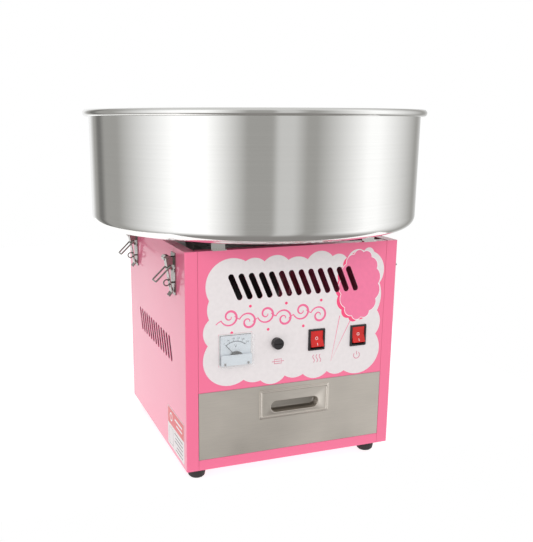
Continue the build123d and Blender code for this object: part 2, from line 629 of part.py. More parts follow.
def motor_isolators():
    """Four rubber mounts between the motor bracket and the deck."""
    mounts = []
    for x in (-50, 50):
        for y in (-50, 50):
            mount = rod("z", MOTOR_Z1 + 3, DECK_Z, (x, y), 8.0)
            waist = Pos(x, y, (MOTOR_Z1 + 3 + DECK_Z) / 2) * Torus(9.5, 3.0)
            mounts.append(mount - waist)
    return mounts


def motor_body():
    """Shaded motor can with end bells, cooling slots and a bored top."""
    can = rod("z", MOTOR_Z0 + 8, MOTOR_Z1 - 8, (0, 0), MOTOR_R)
    bells = rod("z", MOTOR_Z0, MOTOR_Z1, (0, 0), MOTOR_R - 4)
    body = can + bells
    for step in range(12):
        slot = Rot(Z=step * 30) * block(MOTOR_R - 9, MOTOR_R - 2, -3, 3, MOTOR_Z0 - 1, MOTOR_Z0 + 5)
        body = body - slot
    return body - rod("z", MOTOR_Z1 - 22, MOTOR_Z1 + 1, (0, 0), SPINDLE_R + 0.05)


def spindle():
    """Shaft from the motor up to the head, with a flat disc under the head's hub."""
    shaft = rod("z", MOTOR_Z1 - 20, 398.0, (0, 0), SPINDLE_R)
    return shaft + rod("z", 346.0, 349.0, (0, 0), 10.0)


def slip_rings():
    """Insulating sleeve with two contact rings."""
    sleeve = rod("z", 306, 338, (0, 0), 14.0) - rod("z", 300, 345, (0, 0), SPINDLE_R + 0.05)
    for z in (311.0, 325.0):
        sleeve = sleeve + (rod("z", z, z + 8, (0, 0), 17.0) - rod("z", z - 1, z + 9, (0, 0), 10.0))
    return sleeve


def brush_holder():
    """Insulating post beside the slip rings, standing on the motor bracket."""
    base = block(26, 42, -12, 12, MOTOR_Z1 + 3, MOTOR_Z1 + 6)
    post = block(28, 40, -9, 9, MOTOR_Z1 + 3, 336)
    for z in (315.0, 329.0):
        post = post - block(20, 36, -3.6, 3.6, z - 3.1, z + 3.1)
    return base + post


def carbon_brushes():
    """Two brushes that reach the slip rings."""
    return [block(17.2, 36, -3.5, 3.5, z - 3.0, z + 3.0) for z in (315.0, 329.0)]


def head_base():
    """Spinning disc with a hub and an upturned edge."""
    z, hub_r, bore = HEAD_Z, 15.0, SPINDLE_R + 0.05
    return turned([
        (bore, 349), (hub_r, 349), (hub_r, z), (HEAD_R, z), (HEAD_R, z + 9), (HEAD_R - 2.5, z + 9),
        (HEAD_R - 2.5, z + 3), (hub_r, z + 3), (hub_r, z + 8), (bore, z + 8)])


def heater_band():
    """Slotted ring that the sugar is thrown through."""
    z0, z1, r = HEAD_Z + 3, HEAD_Z + 32, 60.0
    band = rod("z", z0, z1, (0, 0), r) - rod("z", z0 - 1, z1 + 1, (0, 0), r - 2.0)
    slots = []
    for step in range(24):
        slots.append(Rot(Z=step * 15) * block(r - 5, r + 5, -1.2, 1.2, z0 + 5, z1 - 5))
    return band - fuse_all(slots)


def head_cap():
    """Head lid with a rolled edge and the open cup that the sugar is poured into."""
    z = HEAD_Z + 32
    return turned([
        (36, z), (66, z), (66, z - 5), (68, z - 5), (68, z + 2), (38, z + 2), (38, z + 18), (36, z + 18)
    ]) + cup_floor(z)


def cup_floor(z):
    """Cup below the lid, with a hub for the retaining thread on the spindle."""
    bore = SPINDLE_R + 0.05
    return turned([
        (bore, z - 16), (36, z - 16), (38, z - 14), (38, z + 1), (36, z + 1), (36, z - 13),
        (12, z - 13), (12, z - 4), (bore, z - 4)])


# ---------------------------------------------------------------- electrics
def capacitor():
    """Motor capacitor standing on the shelf."""
    can = rod("z", SHELF_Z + SHEET, SHELF_Z + 66, (105, 60), 18.0)
    can = fillet(can.edges().sort_by(Axis.Z)[-1], 2.0)
    for y in (55, 65):
        can = can + block(102, 108, y - 0.5, y + 0.5, SHELF_Z + 65, SHELF_Z + 73)
    return can


def terminal_block():
    """Screw terminal strip on the shelf near the mains inlet."""
    strip = block(-130, -60, 105, 127, SHELF_Z + SHEET, SHELF_Z + 18)
    for index in range(6):
        x = -124 + index * 11.6
        strip = strip - rod("z", SHELF_Z + 10, SHELF_Z + 19, (x, 111), 2.6)
        strip = strip - rod("z", SHELF_Z + 10, SHELF_Z + 19, (x, 121), 2.6)
    return strip


# ---------------------------------------------------------------- drawer
def drawer_face():
    """Drawer front with folded edges and the opening for the pull."""
    half = SEAM_X - SEAM_GAP
    low, high = RAIL_TOP + 0.4, DRAWER_TOP
    face = block(-half, half, FRONT, FRONT + SHEET, low, high)
    folds = block(-half, half, FRONT, FRONT + 8.0, high - SHEET, high)
    folds = folds + block(-half, half, FRONT, FRONT + 8.0, low, low + SHEET)
    for side in (-1, 1):
        folds = folds + block(side * half, side * (half - SHEET), FRONT, FRONT + 8.0, low, high)
    opening = block(PULL_X - 45, PULL_X + 45, FRONT - 1, FRONT + 3, PULL_Z - 16, PULL_Z + 13)
    return face + folds - opening


def drawer_tray():
    """Open tray of welded sheets, with side lips for the runners."""
    t = SHEET
    front, back = FRONT + SHEET, DRAWER_BACK
    floor_top, notch = TRAY_FLOOR_Z + t, 80.0
    half = TRAY_HALF_W - t
    tray = [block(-TRAY_HALF_W, TRAY_HALF_W, front, back, TRAY_FLOOR_Z, floor_top)]
    tray.append(block(-half, half, back - t, back, floor_top, TRAY_TOP))
    tray.append(block(-half, half, front, front + t, floor_top, notch))
    tray.append(block(-half, PULL_X - 60, front, front + t, notch, TRAY_TOP))
    tray.append(block(PULL_X + 60, half, front, front + t, notch, TRAY_TOP))
    for side in (-1, 1):
        tray.append(block(side * half, side * TRAY_HALF_W, front, back, floor_top, TRAY_TOP))
        tray.append(block(side * TRAY_HALF_W, side * 139.0, front + 12, back, TRAY_TOP - t, TRAY_TOP))
    return tray


def drawer_pull():
    """Pressed pull plate with a raised border and an obround finger recess."""
    x0, x1 = PULL_X - PULL_W / 2, PULL_X + PULL_W / 2
    z0, z1 = PULL_Z - PULL_H / 2, PULL_Z + PULL_H / 2
    plate = block(x0, x1, FRONT - 1.0, FRONT, z0, z1)
    border = block(x0, x1, FRONT - 2.4, FRONT, z0, z1)
    border = fillet(border.edges().filter_by(Axis.Y), 2.0)
    border = border - block(x0 + 2.5, x1 - 2.5, FRONT - 4, FRONT + 1, z0 + 2.5, z1 - 2.5)
    plate = plate + border
    grip = front_slot(PULL_X, GRIP_Z, GRIP_W, GRIP_H)
    shell = front_slot(PULL_X, GRIP_Z, GRIP_W + 2.4, GRIP_H + 2.4)
    cup = slab("y", FRONT - 1.0, FRONT + GRIP_DEPTH, shell)
    hollow = slab("y", FRONT - 3.0, FRONT + GRIP_DEPTH - 1.2, grip)
    rim = slab("y", FRONT - 1.8, FRONT, shell)
    return plate + cup + rim - hollow


# ---------------------------------------------------------------- all nodes
def all_nodes():
    left = side_panel()
    nodes = {
        "left_side_panel": left,
        "right_side_panel": mirrored(left),
        "front_panel": front_panel(),
        "rear_panel": rear_panel(),
        "base_pan": base_pan(),
        "deck_plate": deck_plate(),
        "partition_shelf": partition_shelf(),
        "drawer_runners": drawer_runners(),
        "machine_screws": machine_screws(),
        "front_decal": front_decal(),
        "data_label": data_label(),
        "bowl_collar": bowl_collar(),
        "voltmeter_case": voltmeter_case(),
        "voltmeter_window": voltmeter_window(),
        "voltmeter_dial": voltmeter_dial(),
        "meter_needle": meter_needle(),
        "fuse_holder": fuse_holder(),
        "fuse_cap": fuse_cap(),
        "glass_fuse": glass_fuse(),
        "power_inlet": power_inlet(),
        "motor_bracket": motor_bracket(),
        "motor_isolators": motor_isolators(),
        "motor_body": motor_body(),
        "brush_holder": brush_holder(),
        "carbon_brushes": carbon_brushes(),
        "capacitor": capacitor(),
        "terminal_block": terminal_block(),
        "spindle": spindle(),
        "slip_rings": slip_rings(),
        "head_base": head_base(),
        "heater_band": heater_band(),
        "head_cap": head_cap(),
        "bowl_gasket": bowl_gasket(),
        "bowl": bowl(),
        "bowl_floor": bowl_floor(),
        "bowl_keepers": bowl_keepers(),
        "drawer_face": drawer_face(),
        "drawer_tray": drawer_tray(),
        "drawer_pull": drawer_pull(),
        "latch_rivets": latch_rivets(),
    }
    for name, x in SWITCH_XS.items():
        nodes[f"{name}_switch_housing"] = switch_housing(x)
        nodes[f"{name}_rocker"] = switch_rocker(x)
    for depth_name, y in (("front", -FOOT_Y), ("rear", FOOT_Y)):
        for side_name, x in (("left", -FOOT_X), ("right", FOOT_X)):
            nodes[f"foot_{depth_name}_{side_name}"] = foot(x, y)
    pieces = {"base": latch_base(), "lever": latch_lever(), "bail": bail_solid()}
    for depth_name, y in zip(("front", "rear"), LATCH_YS):
        for piece_name, piece in pieces.items():
            placed = Pos(0, y, 0) * piece
            nodes[f"latch_{piece_name}_{depth_name}_left"] = placed
            nodes[f"latch_{piece_name}_{depth_name}_right"] = mirrored(placed)
    return nodes


def drill(nodes):
    """Cut the holes that the screws and rivets pass through."""
    screwed = ["left_side_panel", "right_side_panel", "rear_panel", "deck_plate",
               "voltmeter_dial", "voltmeter_case"]
    riveted = ["left_side_panel", "right_side_panel"]
    riveted += [name for name in nodes if name.startswith("latch_base")]
    for names, group in ((screwed, "machine_screws"), (riveted, "latch_rivets")):
        for name in names:
            shape = nodes[name]
            if isinstance(shape, list):
                nodes[name] = [piece - nodes[group] for piece in shape]
            else:
                nodes[name] = shape - nodes[group]


def main():
    os.makedirs("parts", exist_ok=True)
    nodes = all_nodes()
    drill(nodes)
    for name, shape in nodes.items():
        if isinstance(shape, list):
            shape = Compound(children=shape)
        export_step(shape, f"parts/{name}.step")


main()
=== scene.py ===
import json
import math

import bmesh
import bpy
from mathutils import Matrix, Vector


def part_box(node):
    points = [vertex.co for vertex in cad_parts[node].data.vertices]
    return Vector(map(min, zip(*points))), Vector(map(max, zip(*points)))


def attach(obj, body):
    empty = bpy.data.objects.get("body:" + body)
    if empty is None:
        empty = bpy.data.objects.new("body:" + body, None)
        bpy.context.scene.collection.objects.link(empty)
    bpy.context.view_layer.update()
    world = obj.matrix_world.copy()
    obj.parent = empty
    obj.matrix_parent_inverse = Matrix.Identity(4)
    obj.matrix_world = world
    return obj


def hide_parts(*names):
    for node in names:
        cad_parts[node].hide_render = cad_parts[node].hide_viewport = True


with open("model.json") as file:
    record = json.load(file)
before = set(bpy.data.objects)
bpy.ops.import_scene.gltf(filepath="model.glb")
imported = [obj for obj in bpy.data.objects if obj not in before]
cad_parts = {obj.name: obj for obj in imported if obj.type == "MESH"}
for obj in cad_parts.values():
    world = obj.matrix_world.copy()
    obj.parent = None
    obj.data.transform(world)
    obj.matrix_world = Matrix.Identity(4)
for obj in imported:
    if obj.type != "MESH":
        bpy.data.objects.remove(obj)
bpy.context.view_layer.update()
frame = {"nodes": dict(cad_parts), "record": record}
MM = 0.001

# ------------------------------------------------------------------ places, in millimetres
FRONT = round(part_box("front_panel")[0].y / MM, 3)       # plane of the front panel
FILM = FRONT - 0.2                                      # outer face of the cloud film
SIDE = round(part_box("data_label")[0].x / MM, 3)         # outer face of the side label
METER_X, METER_Z = -90.8, 196.6
DIAL_FACE = FRONT - 2.1
NEEDLE_PIVOT_Z = METER_Z - 8.8
SWITCHES = {"heat": 35.2, "power": 103.3}
SWITCH_Z = 198.7
SWITCH_PIVOT_Y = FRONT + 4.0
ROCKER_TILT = 12.0
ROCKER_DIP, ROCKER_SWELL, ROCKER_HALF = 5.2, 3.0, 11.6  # face: out at its middle, extra at its ends

VENT_COUNT, VENT_PITCH = 13, 15.05
VENT_X, VENT_Z = -0.6, 285.5
VENT_LEAN, VENT_RISE, VENT_W = 16.0, 36.8, 8.6
VENT_MARGIN = 0.05                      # how far a print is cut back round a vent

RIM_R, BEAD_R, BEAD_Z = 260.0, 5.0, 518.5
WALL_R, FLOOR_Z, CORNER_R, GAUGE = 251.0, 353.0, 17.0, 1.2
HOLE_R = 89.0

INK_THICK, INK_STEP = 0.03, 0.02        # an ink, and the step from one layer of ink to the next
FIGURE_RISE, FIGURE_HALF = 0.04, 0.015  # middle of a printed figure over its ground, half its thickness

# ------------------------------------------------------------------ shaders
class Shader:
    """A Principled material, with short calls that add nodes to it."""

    def __init__(self, name, sockets):
        self.material = bpy.data.materials.new(name)
        self.material.use_nodes = True
        self.tree = self.material.node_tree
        self.bsdf = self.tree.nodes["Principled BSDF"]
        for socket, value in sockets.items():
            self.bsdf.inputs[socket].default_value = value
        self.coords = self.add("ShaderNodeTexCoord").outputs["Object"]

    def add(self, kind, **settings):
        node = self.tree.nodes.new(kind)
        for key, value in settings.items():
            setattr(node, key, value)
        return node

    def link(self, output, socket):
        if isinstance(socket, str):
            socket = self.bsdf.inputs[socket]
        self.tree.links.new(output, socket)

    def stretched(self, scale):
        node = self.add("ShaderNodeMapping")
        node.inputs["Scale"].default_value = scale
        self.link(self.coords, node.inputs["Vector"])
        return node.outputs["Vector"]

    def rings(self):
        """Coordinates that only change with the distance from the Z axis and with height."""
        split = self.add("ShaderNodeSeparateXYZ")
        self.link(self.coords, split.inputs[0])
        flat = self.add("ShaderNodeCombineXYZ")
        self.link(split.outputs[0], flat.inputs[0])
        self.link(split.outputs[1], flat.inputs[1])
        length = self.add("ShaderNodeVectorMath", operation="LENGTH")
        self.link(flat.outputs[0], length.inputs[0])
        join = self.add("ShaderNodeCombineXYZ")
        self.link(length.outputs["Value"], join.inputs[0])
        self.link(split.outputs[2], join.inputs[2])
        return join.outputs[0]

    def noise(self, vector, scale, detail=2.0, roughness=0.5):
        node = self.add("ShaderNodeTexNoise")
        node.inputs["Scale"].default_value = scale
        node.inputs["Detail"].default_value = detail
        node.inputs["Roughness"].default_value = roughness
        self.link(vector, node.inputs["Vector"])
        return node.outputs["Fac"]

    def spread(self, value, low, high, start=0.35, end=0.65):
        """Map a noise value onto the range low to high."""
        node = self.add("ShaderNodeMapRange")
        for socket, number in zip(node.inputs[1:5], (start, end, low, high)):
            socket.default_value = number
        self.link(value, node.inputs[0])
        return node.outputs[0]

    def tint(self, value, dark, light):
        """Colour between dark and light, chosen by value."""
        node = self.add("ShaderNodeMix", data_type="RGBA")
        node.inputs[6].default_value = (*dark, 1)
        node.inputs[7].default_value = (*light, 1)
        self.link(value, node.inputs[0])
        return node.outputs[2]

    def total(self, first, second):
        node = self.add("ShaderNodeMath", operation="ADD")
        self.link(first, node.inputs[0])
        self.link(second, node.inputs[1])
        return node.outputs[0]

    def bump(self, height, depth_mm, strength, below=None):
        node = self.add("ShaderNodeBump")
        node.inputs["Strength"].default_value = strength
        node.inputs["Distance"].default_value = depth_mm * MM
        self.link(height, node.inputs["Height"])
        if below is not None:
            self.link(below, node.inputs["Normal"])
        return node.outputs["Normal"]


def shade(colour, amount):
    return tuple(min(1.0, channel * amount) for channel in colour)


def powder_coat(name, colour):
    """Glossy powder coat: faint orange peel, slight colour drift, a few dull patches."""
    s = Shader(name, {"Roughness": 0.3, "Coat Weight": 0.6, "Coat Roughness": 0.08})
    drift = s.spread(s.noise(s.coords, 5, 2), 0, 1, 0.1, 0.9)
    s.link(s.tint(drift, shade(colour, 0.98), shade(colour, 1.02)), "Base Color")
    s.link(s.spread(s.noise(s.coords, 12, 2), 0.27, 0.31, 0.1, 0.9), "Roughness")
    peel = s.bump(s.noise(s.coords, 300, 2), 0.01, 0.15)
    s.link(s.bump(s.noise(s.coords, 2600, 1), 0.002, 0.15, peel), "Normal")
    return s.material


def spun_steel(name, colour, rough):
    """Bright spun stainless steel with very fine rings round its axis."""
    s = Shader(name, {"Metallic": 1.0})
    rings = s.rings()
    fine = s.noise(rings, 2600, 2, 0.7)
    smear = s.noise(s.coords, 7, 3)
    s.link(s.tint(s.spread(fine, 0, 1), shade(colour, 0.975), shade(colour, 1.02)), "Base Color")
    s.link(s.total(s.spread(fine, *rough), s.spread(smear, 0.0, 0.03)), "Roughness")
    s.link(s.bump(fine, 0.004, 0.3), "Normal")
    return s.material


def brushed_sheet(name, colour, scale=(40, 40, 2400), rough=(0.30, 0.40), shade_depths=None):
    """Brushed stainless sheet. scale is small along the grain and large across it.

    The last argument gives the two depths along Y, in mm, over which the colour darkens into a recess, as
    painted shade.
    """
    s = Shader(name, {"Metallic": 1.0, "Anisotropic": 0.4})
    grain = s.noise(s.stretched(scale), 1.0, 4, 0.75)
    cloud = s.noise(s.coords, 9, 2)
    mottle = s.total(s.spread(grain, 0.0, 0.4, 0.3, 0.7), s.spread(cloud, 0.0, 0.6))
    tone = s.tint(mottle, shade(colour, 0.86), shade(colour, 1.14))
    if shade_depths:
        # painted shade: the colour darkens to 0.55 of itself deeper into the recess
        split = s.add("ShaderNodeSeparateXYZ")
        s.link(s.coords, split.inputs[0])
        recess_shade = s.add("ShaderNodeMix", data_type="RGBA")
        s.link(s.spread(split.outputs[1], 0, 1, shade_depths[0] * MM, shade_depths[1] * MM), recess_shade.inputs[0])
        s.link(tone, recess_shade.inputs[6])
        recess_shade.inputs[7].default_value = (*shade(colour, 0.55), 1)
        tone = recess_shade.outputs[2]
    s.link(tone, "Base Color")
    s.link(s.total(s.spread(grain, *rough), s.spread(cloud, -0.03, 0.05)), "Roughness")
    s.link(s.bump(grain, 0.01, 0.3), "Normal")
    return s.material


def plated(name, colour, rough=(0.18, 0.30)):
    """Nickel plate over pressed steel, with faint scratches."""
    s = Shader(name, {"Metallic": 1.0})
    scratch = s.noise(s.stretched((900, 120, 300)), 1.0, 3, 0.7)
    s.link(s.tint(s.spread(scratch, 0, 1), shade(colour, 0.8), shade(colour, 1.08)), "Base Color")
    s.link(s.spread(s.noise(s.coords, 350, 2), *rough), "Roughness")
    s.link(s.bump(scratch, 0.012, 0.4), "Normal")
    return s.material


def moulded(name, colour, rough=(0.35, 0.5), grain_mm=0.02, coat=0.0):
    """Moulded plastic or rubber with a fine spark-eroded grain."""
    s = Shader(name, {"Coat Weight": coat, "Coat Roughness": 0.15})
    grain = s.noise(s.coords, 1800, 2)
    drift = s.spread(s.noise(s.coords, 45, 2), 0, 1)
    s.link(s.tint(drift, shade(colour, 0.9), shade(colour, 1.12)), "Base Color")
    s.link(s.spread(grain, *rough), "Roughness")
    s.link(s.bump(grain, grain_mm, 0.5), "Normal")
    return s.material


def clear_moulding(name):
    """Clear acrylic: mostly seen through, with a soft gloss and a faint haze."""
    s = Shader(name, {"Base Color": (0.93, 0.95, 0.96, 1), "Specular IOR Level": 0.6, "Alpha": 0.09})
    s.link(s.spread(s.noise(s.coords, 300, 2), 0.03, 0.08), "Roughness")
    s.link(s.bump(s.noise(s.coords, 90, 2), 0.02, 0.2), "Normal")
    return s.material


def printed(name, colour):
    """Printed film or paper: an even ink with a faint mottle and a soft surface."""
    s = Shader(name, {"Coat Weight": 0.25, "Coat Roughness": 0.2})
    ink = s.spread(s.noise(s.coords, 160, 3), 0, 1)
    s.link(s.tint(ink, shade(colour, 0.98), shade(colour, 1.02)), "Base Color")
    s.link(s.spread(s.noise(s.coords, 700, 2), 0.32, 0.42), "Roughness")
    s.link(s.bump(s.noise(s.coords, 1100, 1), 0.008, 0.2), "Normal")
    return s.material


DRAWER_STEEL = (0.79, 0.735, 0.67)
FINISHES = {
    "pink_powder_coat": (powder_coat, (0.93, 0.185, 0.337)),
    "bowl_steel": (spun_steel, (0.90, 0.90, 0.885), (0.06, 0.10)),
    "drawer_steel": (brushed_sheet, DRAWER_STEEL),
    "deck_steel": (brushed_sheet, (0.34, 0.335, 0.325), (300, 9, 9), (0.32, 0.5)),
    "nickel_plate": (plated, (0.36, 0.345, 0.325), (0.12, 0.22)),
    "black_rubber": (moulded, (0.018, 0.016, 0.016), (0.55, 0.75), 0.05),
    "black_plastic": (moulded, (0.022, 0.020, 0.022), (0.3, 0.42)),
    "red_plastic": (moulded, (0.60, 0.014, 0.012), (0.2, 0.28), 0.006, 0.3),
    "clear_plastic": (clear_moulding,),
    "dial_print": (printed, (0.66, 0.71, 0.76)),
    "white_film": (printed, (0.81, 0.76, 0.77)),
    "label_film": (printed, (0.80, 0.78, 0.78)),
    "screw_steel": (plated, (0.55, 0.54, 0.53)),
    "contact_brass": (plated, (0.72, 0.52, 0.24)),
    "motor_paint": (powder_coat, (0.03, 0.03, 0.032)),
    "carbon": (moulded, (0.03, 0.03, 0.03), (0.4, 0.6), 0.05),
    "head_aluminium": (spun_steel, (0.80, 0.80, 0.81), (0.22, 0.34)),
    "capacitor_can": (plated, (0.72, 0.73, 0.75), (0.25, 0.4)),
    "fuse_glass": (clear_moulding,),
    "terminal_plastic": (moulded, (0.72, 0.70, 0.62)),
}
MATERIALS = {name: finish(name, *values) for name, (finish, *values) in FINISHES.items()}
INK_COLOURS = {
    "floss_pink": (0.90, 0.205, 0.37),
    "shadow_pink": (0.95, 0.08, 0.22),
    "line_pink": (0.88, 0.16, 0.33),
    "outline_white": (0.93, 0.90, 0.91),
    "caption": (0.70, 0.24, 0.34),
    "dial_line": (0.05, 0.06, 0.08),
    "mark_white": (0.85, 0.72, 0.72),
    "coral": (0.78, 0.08, 0.095),
    "label_grey": (0.10, 0.11, 0.13),
    "label_white": (0.9, 0.86, 0.87),
}
INKS = {name: printed(f"ink_{name}", colour) for name, colour in INK_COLOURS.items()}


# ------------------------------------------------------------------ mesh helpers
def add_mesh(name, mesh_data, material, body):
    """Put a mesh in the scene, with its material and the body that it rides on."""
    obj = bpy.data.objects.new(name, mesh_data)
    bpy.context.scene.collection.objects.link(obj)
    mesh_data.materials.append(material)
    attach(obj, body)
    return obj


def closed_mesh(name, bm):
    """Mesh data from a finished bmesh, with every face turned outward."""
    bmesh.ops.recalc_face_normals(bm, faces=bm.faces[:])
    data = bpy.data.meshes.new(name)
    bm.to_mesh(data)
    bm.free()
    return data


def bridge(bm, first, second):
    """Wall of quads between two closed loops of the same count."""
    for i in range(len(first)):
        j = (i + 1) % len(first)
        bm.faces.new((first[i], second[i], second[j], first[j]))


def smooth(mesh_data, angle):
    """Smooth shading with sharp edges where faces meet at more than the angle."""
    mesh_data.polygons.foreach_set("use_smooth", [True] * len(mesh_data.polygons))
    mesh_data.set_sharp_from_angle(angle=math.radians(angle))


def arc_points(start, through, end, steps):
    """Points on the circular arc through three points, without its last one."""
    (ax, ay), (bx, by), (cx, cy) = start, through, end
    d = 2 * (ax * (by - cy) + bx * (cy - ay) + cx * (ay - by))
    ux = ((ax * ax + ay * ay) * (by - cy) + (bx * bx + by * by) * (cy - ay)
          + (cx * cx + cy * cy) * (ay - by)) / d
    uy = ((ax * ax + ay * ay) * (cx - bx) + (bx * bx + by * by) * (ax - cx)
          + (cx * cx + cy * cy) * (bx - ax)) / d
    radius = math.hypot(ax - ux, ay - uy)
    a0 = math.atan2(ay - uy, ax - ux)
    a1 = math.atan2(by - uy, bx - ux)
    a2 = math.atan2(cy - uy, cx - ux)
    turn = (a2 - a0) % math.tau
    if (a1 - a0) % math.tau > turn:
        turn -= math.tau
    return [(ux + radius * math.cos(a0 + turn * i / steps), uy + radius * math.sin(a0 + turn * i / steps))
            for i in range(steps)]


def scalloped(puffs, steps=14):
    """Closed outline of arcs. Each puff is (valley x, valley z, crest x, crest z)."""
    outline = []
    for index, (x, z, crest_x, crest_z) in enumerate(puffs):
        following = puffs[(index + 1) % len(puffs)]
        outline += arc_points((x, z), (crest_x, crest_z), following[:2], steps)
    return outline


def front_map(depth):
    """Place drawing coordinates on a plane that faces the front."""
    return lambda u, v, out: (u * MM, (depth - out) * MM, v * MM)


def side_map(depth):
    """Place drawing coordinates on a plane that faces left: u runs to the rear."""
    return lambda u, v, out: ((depth - out) * MM, u * MM, v * MM)


def flat_art(name, outline, place, ink, layer=1):
    """Thin closed print with the given outline, standing a hair proud of the cabinet."""
    bm = bmesh.new()
    face = bm.faces.new([bm.verts.new(place(u, v, INK_STEP * layer)) for u, v in outline])
    lifted = bmesh.ops.extrude_face_region(bm, geom=[face])
    top = [v for v in lifted["geom"] if isinstance(v, bmesh.types.BMVert)]
    origin, raised = Vector(place(0, 0, 0)), Vector(place(0, 0, INK_THICK))
    bmesh.ops.translate(bm, verts=top, vec=raised - origin)
    bmesh.ops.triangulate(bm, faces=bm.faces[:], ngon_method="EAR_CLIP")
    return add_mesh(name, closed_mesh(name, bm), INKS[ink], "cabinet")


def ribbon_edges(points, width):
    """Left and right edge of a stroke. width is a number, or a function of the way along it."""
    left, right = [], []
    for index, (x, y) in enumerate(points):
        before = points[max(index - 1, 0)]
        after = points[min(index + 1, len(points) - 1)]
        length = math.hypot(after[0] - before[0], after[1] - before[1])
        nx, ny = -(after[1] - before[1]) / length, (after[0] - before[0]) / length
        half = width(index / (len(points) - 1)) / 2 if callable(width) else width / 2
        left.append((x + nx * half, y + ny * half))
        right.append((x - nx * half, y - ny * half))
    return left, right


def stroke(name, points, width, place, ink, body="cabinet", layer=1, closed=False):
    """Thin printed line along a path."""
    if closed:
        points = points + points[:1]
    left, right = ribbon_edges(points, width)
    bm = bmesh.new()
    low = INK_STEP * layer
    rows = []
    for a, b in zip(left, right):
        rows.append([bm.verts.new(place(*p, out)) for p in (a, b) for out in (low, low + INK_THICK)])
    for (a0, a1, b0, b1), (c0, c1, d0, d1) in zip(rows, rows[1:]):
        for quad in ((a1, b1, d1, c1), (a0, c0, d0, b0), (a0, a1, c1, c0), (b0, d0, d1, b1)):
            bm.faces.new(quad)
    for a0, a1, b0, b1 in (rows[0], rows[-1]):
        bm.faces.new((a0, b0, b1, a1))
    return add_mesh(name, closed_mesh(name, bm), INKS[ink], body)


def disc_outline(x, z, radius, steps=24):
    return [(x + radius * math.cos(math.tau * i / steps), z + radius * math.sin(math.tau * i / steps))
            for i in range(steps)]


def lathe(name, profile, material, body, steps=240):
    """Closed solid of revolution about Z from a closed outline of (radius, height) in mm."""
    bm = bmesh.new()
    rings = []
    for step in range(steps):
        angle = math.tau * step / steps
        c, s = math.cos(angle) * MM, math.sin(angle) * MM
        rings.append([bm.verts.new((r * c, r * s, z * MM)) for r, z in profile])
    for ring, following in zip(rings, rings[1:] + rings[:1]):
        bridge(bm, ring, following)
    data = closed_mesh(name, bm)
    smooth(data, 40)
    return add_mesh(name, data, material, body)


def rounded_loop(half_w, half_h, radius, per_corner=10):
    """Closed loop of a rounded rectangle about the origin, the same count for any size."""
    loop = []
    for corner, (sx, sz) in enumerate(((1, 1), (-1, 1), (-1, -1), (1, -1))):
        for i in range(per_corner + 1):
            angle = math.radians(90 * corner + 90 * i / per_corner)
            loop.append((sx * (half_w - radius) + radius * math.cos(angle),
                         sz * (half_h - radius) + radius * math.sin(angle)))
    return loop


def nested(name, levels, place, material, body):
    """Closed surface through loops (half width, half height, radius, centre u, centre v, out)."""
    bm = bmesh.new()
    loops = []
    for half_w, half_h, radius, u, v, out in levels:
        outline = rounded_loop(half_w, half_h, radius)
        loops.append([bm.verts.new(place(u + a, v + b, out)) for a, b in outline])
    for loop, inner in zip(loops, loops[1:]):
        bridge(bm, loop, inner)
    bm.faces.new(loops[-1])
    bm.faces.new(list(reversed(loops[0])))
    data = closed_mesh(name, bm)
    smooth(data, 50)
    return add_mesh(name, data, material, body)


# ------------------------------------------------------------------ CAD pieces
def dress_cad():
    """Give every carried CAD node the material of its slot."""
    for entry in frame["record"]["subparts"]:
        obj = frame["nodes"][entry["node"]]
        for slot in obj.material_slots:
            slot.material = MATERIALS[entry["material_slot"]]


# ------------------------------------------------------------------ bowl
def bend(r, z, radius, start, sweep, steps):
    """Points of an arc in the profile, by angles in degrees."""
    angles = [math.radians(start + sweep * i / steps) for i in range(steps + 1)]
    return [(r + radius * math.cos(angle), z + radius * math.sin(angle)) for angle in angles]


def bowl_profile():
    """Outline of the bowl's sheet: hole edge, floor, corner, wall, rolled rim and back inside."""
    corner_r, corner_z = WALL_R - CORNER_R, FLOOR_Z + CORNER_R
    bead_r, inside_r = RIM_R - BEAD_R, WALL_R - GAUGE
    edge_r, floor_top = HOLE_R + GAUGE, FLOOR_Z + GAUGE
    outline = [(HOLE_R, FLOOR_Z + 6), (HOLE_R, FLOOR_Z + 1), (HOLE_R + 1, FLOOR_Z), (HOLE_R + 3, FLOOR_Z)]
    outline.append((corner_r - 1, FLOOR_Z))
    outline += bend(corner_r, corner_z, CORNER_R, -90, 90, 16)
    outline += [(WALL_R, corner_z + 1), (WALL_R, BEAD_Z - 4.2)]
    outline += bend(bead_r, BEAD_Z, BEAD_R, -143, 323, 24)
    outline += [(inside_r, BEAD_Z - 3), (inside_r, BEAD_Z - 6), (inside_r, corner_z + 1)]
    outline += bend(corner_r, corner_z, CORNER_R - GAUGE, 0, -90, 16)
    outline += [(corner_r - 1, floor_top), (edge_r + 3, floor_top), (edge_r + 1, floor_top)]
    outline += [(edge_r, floor_top + 1), (edge_r, FLOOR_Z + 6)]
    return outline


def make_bowl():
    bowl = lathe("spun_bowl", bowl_profile(), MATERIALS["bowl_steel"], "bowl")
    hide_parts("bowl", "bowl_floor")


